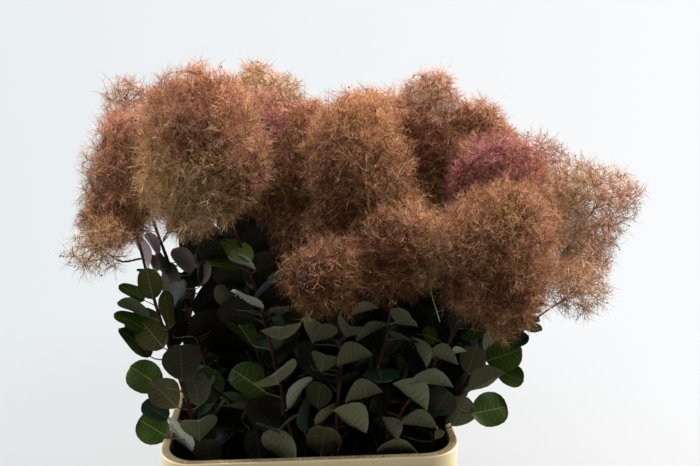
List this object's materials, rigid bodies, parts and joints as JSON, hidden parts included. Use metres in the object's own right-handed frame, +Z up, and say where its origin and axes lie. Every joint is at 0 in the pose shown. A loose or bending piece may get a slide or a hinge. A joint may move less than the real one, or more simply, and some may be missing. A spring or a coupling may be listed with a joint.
{
  "type": "smoke bush in a flower container",
  "caption": "Bunch of leafy cut smoke bush stems with hazy pink-brown flower plumes, standing in a tall tapered plastic container with a wide flat rim.",
  "frame": {"origin": "centre of the container's flat underside, where it stands", "axes": "+Z up, +X along the container's long side, -Y towards the viewer"},
  "size_m": [0.7654, 0.4856, 0.7909],
  "materials": {
    "cream_plastic": "cream injection-moulded plastic, slightly glossy, lightly scuffed",
    "bark": "smooth dark red-brown bark with fine lenticels",
    "leaf": "dark green leaves, waxy above and grey-green below, with pale veins",
    "smoke": "hazy pink-brown feathery flower stalks"
  },
  "bodies": {
    "root": {"container": "cream_plastic", "stem_left": "bark", "stem_front_left": "bark", "stem_front_centre": "bark", "stem_front_right": "bark", "stem_right": "bark", "stem_low_centre": "bark", "stem_centre_left": "bark", "stem_centre_right": "bark", "stem_pink": "bark", "stem_back_left": "bark", "stem_back_pale": "bark", "stem_back_centre": "bark", "stem_back_right": "bark", "stem_far_right": "bark", "bough_left_low": "bark", "bough_centre_low": "bark", "bough_right_low": "bark", "bough_rear_left": "bark", "bough_rear_centre_left": "bark", "bough_rear_centre": "bark", "bough_rear_right": "bark", "bough_rear_far_right": "bark", "leaves_left": "leaf", "leaves_front_left": "leaf", "leaves_front_centre": "leaf", "leaves_front_right": "leaf", "leaves_right": "leaf", "leaves_low_centre": "leaf", "leaves_centre_left": "leaf", "leaves_centre_right": "leaf", "leaves_pink": "leaf", "leaves_back_left": "leaf", "leaves_back_pale": "leaf", "leaves_back_centre": "leaf", "leaves_back_right": "leaf", "leaves_far_right": "leaf", "plume_left": "smoke", "plume_front_left": "smoke", "plume_front_centre": "smoke", "plume_front_right": "smoke", "plume_right": "smoke", "plume_low_centre": "smoke", "plume_centre_left": "smoke", "plume_centre_right": "smoke", "plume_pink": "smoke", "plume_back_left": "smoke", "plume_back_pale": "smoke", "plume_back_centre": "smoke", "plume_back_right": "smoke", "plume_far_right": "smoke", "plume_left_low": "smoke", "plume_centre_low": "smoke", "plume_right_low": "smoke", "plume_rear_left": "smoke", "plume_rear_centre_left": "smoke", "plume_rear_centre": "smoke", "plume_rear_right": "smoke", "plume_rear_far_right": "smoke"}
  },
  "joints": []
}
